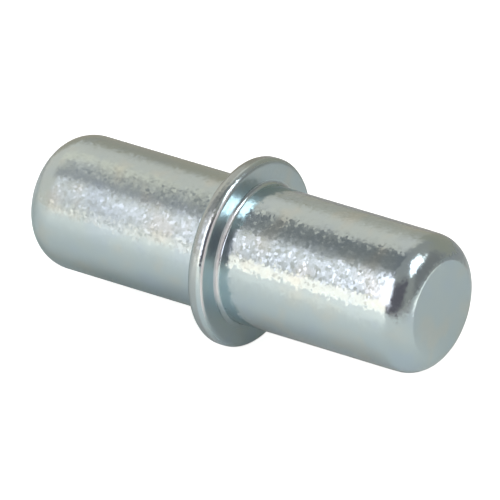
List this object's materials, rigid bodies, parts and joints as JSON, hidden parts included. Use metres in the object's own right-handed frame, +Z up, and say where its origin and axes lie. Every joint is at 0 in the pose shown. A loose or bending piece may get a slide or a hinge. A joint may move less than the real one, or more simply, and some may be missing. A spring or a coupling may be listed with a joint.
{
  "type": "shelf support pin",
  "caption": "Plain round metal shelf pin with a thin collar between two round-ended stems: one goes into a hole in a cabinet panel, the other carries the shelf.",
  "frame": {"origin": "on the pin's axis, in the plane of the collar's seat against the panel", "axes": "+X along the pin, out of the panel towards the end of the shelf stem; +Z up"},
  "size_m": [0.0162, 0.0068, 0.0068],
  "materials": {
    "zinc_plate": "bright zinc plate with a pale blue-green tint over fine headed grain"
  },
  "bodies": {
    "root": {"pin": "zinc_plate"}
  },
  "joints": []
}
